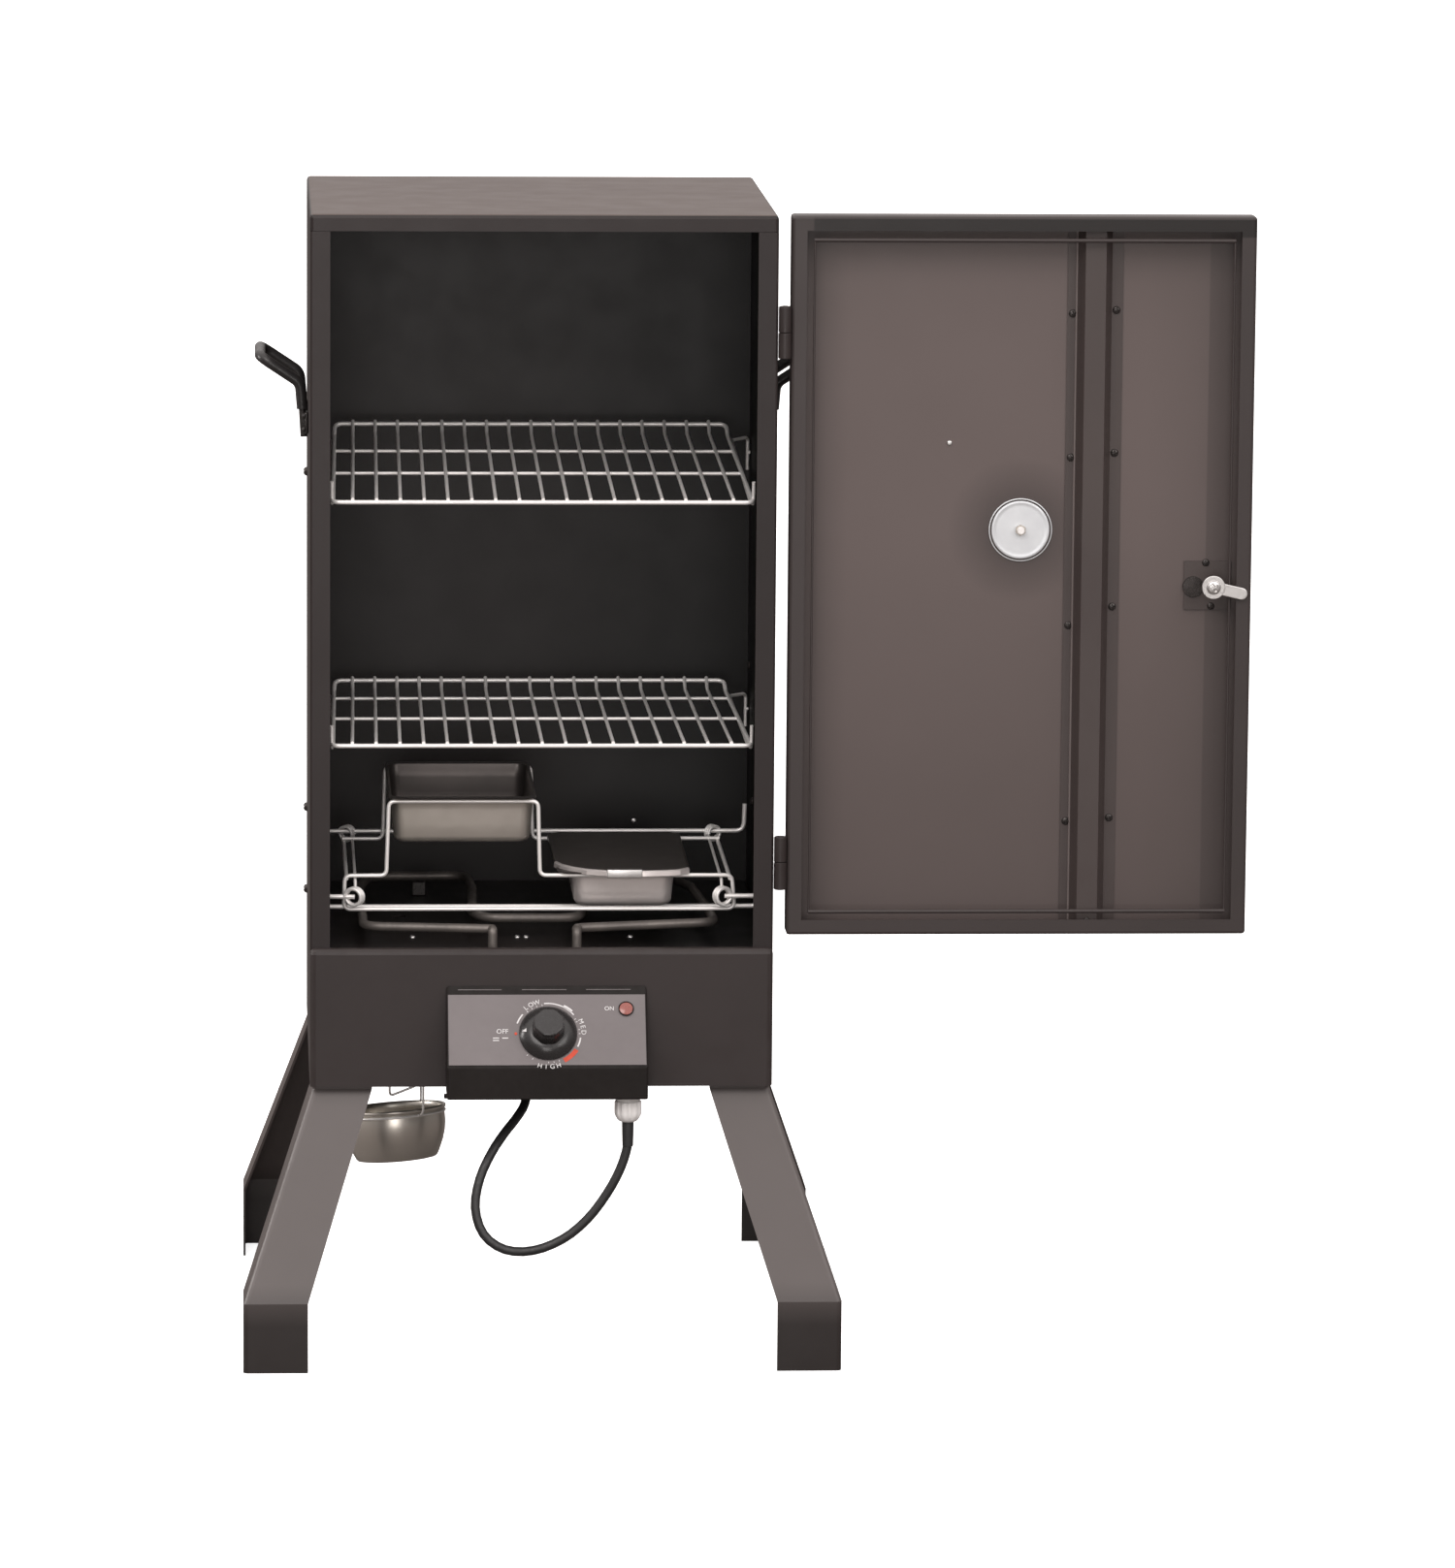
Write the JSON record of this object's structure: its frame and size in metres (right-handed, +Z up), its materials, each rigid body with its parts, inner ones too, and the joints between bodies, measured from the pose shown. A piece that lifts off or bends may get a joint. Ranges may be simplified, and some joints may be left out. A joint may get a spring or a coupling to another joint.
{
  "type": "electric cabinet smoker",
  "caption": "Upright electric smoker cabinet on splayed legs, door open, with wire racks, water pan, chip tray, heating element, thermostat box and drip cup.",
  "frame": {"origin": "on the floor, at the middle of the box that the legs and the open door span", "axes": "+X to the right seen from the front, towards the open door; +Y to the back of the cabinet; +Z up"},
  "size_m": [0.8504, 0.519, 0.972],
  "materials": {
    "black_enamel": "satin",
    "black_plastic": "gloss",
    "control_face": "satin",
    "chrome_wire": "polished",
    "plain_steel": "satin",
    "element_alloy": "matte",
    "white_nylon": "satin",
    "cord_rubber": "matte",
    "lamp_red": "gloss",
    "dial_glass": "polished",
    "needle_red": "satin"
  },
  "bodies": {
    "cabinet": {"left_side_panel": "black_enamel", "right_side_panel": "black_enamel", "top_panel": "black_enamel", "back_panel": "black_enamel", "floor_pan": "black_enamel", "front_apron": "black_enamel", "leg_front_left": "black_enamel", "leg_front_right": "black_enamel", "leg_rear_left": "black_enamel", "leg_rear_right": "black_enamel", "left_handle_rod": "plain_steel", "left_handle_grip": "black_plastic", "right_handle_rod": "plain_steel", "right_handle_grip": "black_plastic", "upper_rack_hanger_left": "chrome_wire", "upper_rack_hanger_right": "chrome_wire", "lower_rack_hanger_left": "chrome_wire", "lower_rack_hanger_right": "chrome_wire", "pan_frame": "chrome_wire", "rear_support_rod": "chrome_wire", "lower_support_rod": "chrome_wire", "heating_element": "element_alloy", "element_bracket": "plain_steel", "drip_cup_hanger": "chrome_wire", "control_box": "black_plastic", "label_plate": "control_face", "thermostat_body": "black_plastic", "ready_lamp_bezel": "black_plastic", "ready_lamp_lens": "lamp_red", "cable_gland": "white_nylon", "gland_nut": "white_nylon", "cord_strain_relief": "cord_rubber", "mains_lead": "cord_rubber", "mains_lead_coil": "cord_rubber", "mains_plug": "cord_rubber", "cord_hook": "plain_steel", "cord_clip": "plain_steel", "upper_hinge_cabinet_leaf": "black_enamel", "lower_hinge_cabinet_leaf": "black_enamel"},
    "door": {"door_panel": "black_enamel", "door_stiffener": "black_enamel", "upper_hinge_door_leaf": "black_enamel", "lower_hinge_door_leaf": "black_enamel", "thermometer_case": "plain_steel", "thermometer_glass": "dial_glass", "thermometer_back_disc": "plain_steel", "latch_plate": "black_enamel", "badge_plate": "plain_steel"},
    "latch": {"latch_handle": "black_plastic", "latch_cam": "plain_steel"},
    "needle": {"thermometer_needle": "needle_red"},
    "knob": {"thermostat_knob": "black_plastic"},
    "upper_rack": {"upper_rack": "chrome_wire"},
    "lower_rack": {"lower_rack": "chrome_wire"},
    "water_pan": {"water_pan": "plain_steel"},
    "chip_tray": {"chip_tray": "plain_steel"},
    "chip_lid": {"chip_lid": "black_enamel"},
    "drip_cup": {"drip_cup": "plain_steel"}
  },
  "joints": [
    {"name": "door_swing", "type": "hinge", "parent": "cabinet", "child": "door", "pos_m": [0.02875, -0.1855, 0.66], "axis": [0, 0, 1], "range_deg": [-180, 15]},
    {"name": "latch_turn", "type": "hinge", "parent": "door", "child": "latch", "pos_m": [0.39275, -0.16, 0.659], "axis": [0, 1, 0], "range_deg": [0, 90]},
    {"name": "needle_turn", "type": "hinge", "parent": "door", "child": "needle", "pos_m": [0.23105, -0.16, 0.7044], "axis": [0, -1, 0], "range_deg": [0, 300]},
    {"name": "knob_turn", "type": "hinge", "parent": "cabinet", "child": "knob", "pos_m": [-0.16825, -0.21863, 0.28255], "axis": [0, -0.8221, 0.5693], "range_deg": [-270, 0]},
    {"name": "upper_rack_slide", "type": "slide", "parent": "cabinet", "child": "upper_rack", "axis": [0, -0.9979, -0.0645], "range_m": [0, 0.3]},
    {"name": "lower_rack_slide", "type": "slide", "parent": "cabinet", "child": "lower_rack", "axis": [0, -1, 0], "range_m": [0, 0.3]},
    {"name": "water_pan_lift", "type": "slide", "parent": "cabinet", "child": "water_pan", "axis": [0, 0, 1], "range_m": [0, 0.03]},
    {"name": "chip_tray_lift", "type": "slide", "parent": "cabinet", "child": "chip_tray", "axis": [0, 0, 1], "range_m": [0, 0.03]},
    {"name": "chip_lid_lift", "type": "slide", "parent": "chip_tray", "child": "chip_lid", "axis": [0, 0, 1], "range_m": [0, 0.03]},
    {"name": "drip_cup_lift", "type": "slide", "parent": "cabinet", "child": "drip_cup", "axis": [-0.0785, 0, 0.9969], "range_m": [0, 0.03]}
  ]
}
